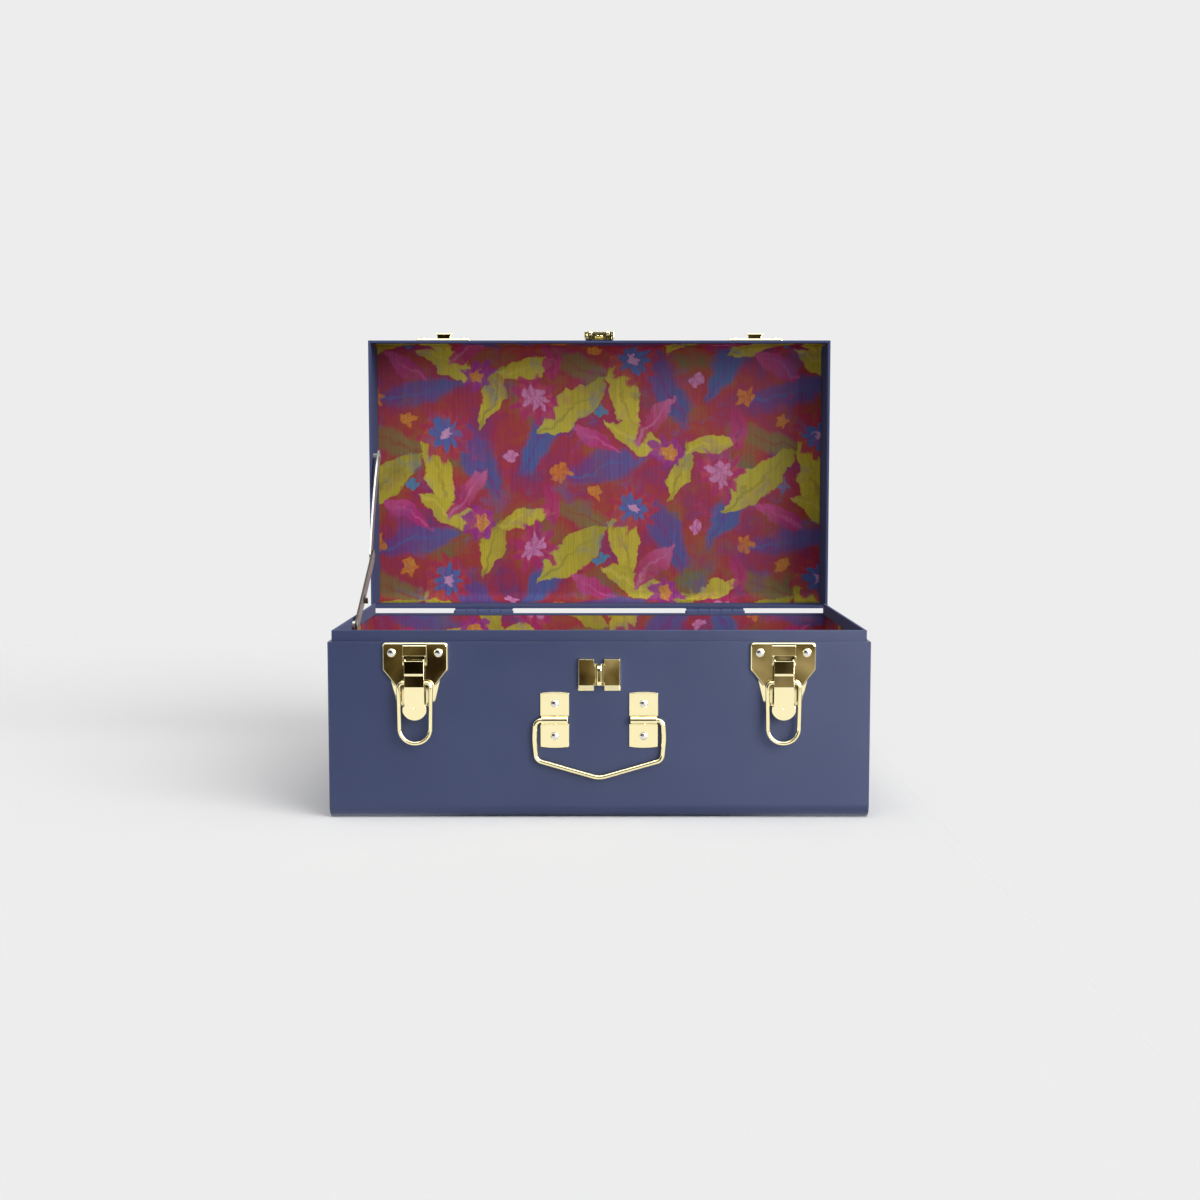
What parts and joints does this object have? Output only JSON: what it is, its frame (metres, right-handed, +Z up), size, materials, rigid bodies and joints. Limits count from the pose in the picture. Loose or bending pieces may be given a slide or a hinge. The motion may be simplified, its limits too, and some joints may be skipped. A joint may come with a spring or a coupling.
{
  "type": "storage trunk",
  "caption": "Painted steel storage trunk with hinged lid, toggle latches, padlock hasp, front bail handle, folding lid stay and printed lining.",
  "frame": {"origin": "centre of the bottom face, on the floor", "axes": "+Z up, front with the latches towards -Y, +X to the right seen from the front; rest pose has the lid open upright"},
  "size_m": [0.4, 0.3014, 0.3759],
  "materials": {
    "navy_paint": "satin",
    "printed_lining": "matte",
    "brass_plate": "polished",
    "nickel": "polished"
  },
  "bodies": {
    "base": {"base_wrap": "navy_paint", "base_end_left": "navy_paint", "base_end_right": "navy_paint", "lip_band": "navy_paint", "base_lining_wrap": "printed_lining", "base_lining_left": "printed_lining", "base_lining_right": "printed_lining", "hinge_leaf_base_left": "navy_paint", "hinge_leaf_base_right": "navy_paint", "hinge_pin_left": "navy_paint", "hinge_pin_right": "navy_paint", "hinge_rivets_base": "navy_paint", "latch_plate_left": "brass_plate", "latch_plate_right": "brass_plate", "latch_pin_left": "brass_plate", "latch_pin_right": "brass_plate", "latch_rivets": "nickel", "hasp_staple": "brass_plate", "handle_plate_left": "brass_plate", "handle_plate_right": "brass_plate", "handle_rivets": "nickel", "stay_base_post": "nickel"},
    "lid": {"lid_wrap": "navy_paint", "lid_end_left": "navy_paint", "lid_end_right": "navy_paint", "lid_lining": "printed_lining", "hinge_leaf_lid_left": "navy_paint", "hinge_leaf_lid_right": "navy_paint", "hinge_rivets_lid": "navy_paint", "strike_plate_left": "brass_plate", "strike_plate_right": "brass_plate", "strike_rivets": "nickel", "hasp_bracket": "brass_plate", "hasp_pin": "brass_plate", "hasp_rivets": "nickel", "stay_lid_post": "nickel"},
    "hasp_flap": {"hasp_flap": "brass_plate"},
    "handle": {"handle_bail": "brass_plate"},
    "stay_lower": {"stay_lower_arm": "nickel", "stay_elbow_rivet": "nickel"},
    "stay_upper": {"stay_upper_arm": "nickel"},
    "lever_left": {"latch_lever_left": "brass_plate"},
    "bail_left": {"latch_bail_left": "brass_plate"},
    "lever_right": {"latch_lever_right": "brass_plate"},
    "bail_right": {"latch_bail_right": "brass_plate"}
  },
  "joints": [
    {"name": "lid_hinge", "type": "hinge", "parent": "base", "child": "lid", "pos_m": [0, 0.12005, 0.1313], "axis": [1, 0, 0], "range_deg": [0, 90]},
    {"name": "stay_lower_swing", "type": "hinge", "parent": "base", "child": "stay_lower", "pos_m": [-0.1924, -0.02225, 0.1351], "axis": [1, 0, 0], "range_deg": [-22.4, 0]},
    {"name": "stay_upper_swing", "type": "hinge", "parent": "lid", "child": "stay_upper", "pos_m": [-0.1943, 0.13455, 0.268], "axis": [1, 0, 0], "range_deg": [0, 33.11]},
    {"name": "hasp_swing", "type": "hinge", "parent": "lid", "child": "hasp_flap", "pos_m": [0, 0.12525, 0.3735], "axis": [1, 0, 0], "range_deg": [0, 180]},
    {"name": "handle_swing", "type": "hinge", "parent": "base", "child": "handle", "pos_m": [0, -0.11895, 0.0736], "axis": [-1, 0, 0], "range_deg": [0, 150]},
    {"name": "lever_swing_left", "type": "hinge", "parent": "base", "child": "lever_left", "pos_m": [-0.1353, -0.12205, 0.1171], "axis": [1, 0, 0], "range_deg": [-110, 0]},
    {"name": "bail_swing_left", "type": "hinge", "parent": "lever_left", "child": "bail_left", "pos_m": [-0.1353, -0.12285, 0.1019], "axis": [-1, 0, 0], "range_deg": [0, 183.1]},
    {"name": "lever_swing_right", "type": "hinge", "parent": "base", "child": "lever_right", "pos_m": [0.1353, -0.12205, 0.1171], "axis": [1, 0, 0], "range_deg": [-110, 0]},
    {"name": "bail_swing_right", "type": "hinge", "parent": "lever_right", "child": "bail_right", "pos_m": [0.1353, -0.12285, 0.1019], "axis": [-1, 0, 0], "range_deg": [0, 183.1]}
  ],
  "couplings": [
    {"joint": "stay_lower_swing", "follows": "lid_hinge", "ratio": -0.2488},
    {"joint": "stay_upper_swing", "follows": "lid_hinge", "ratio": 0.36775}
  ]
}
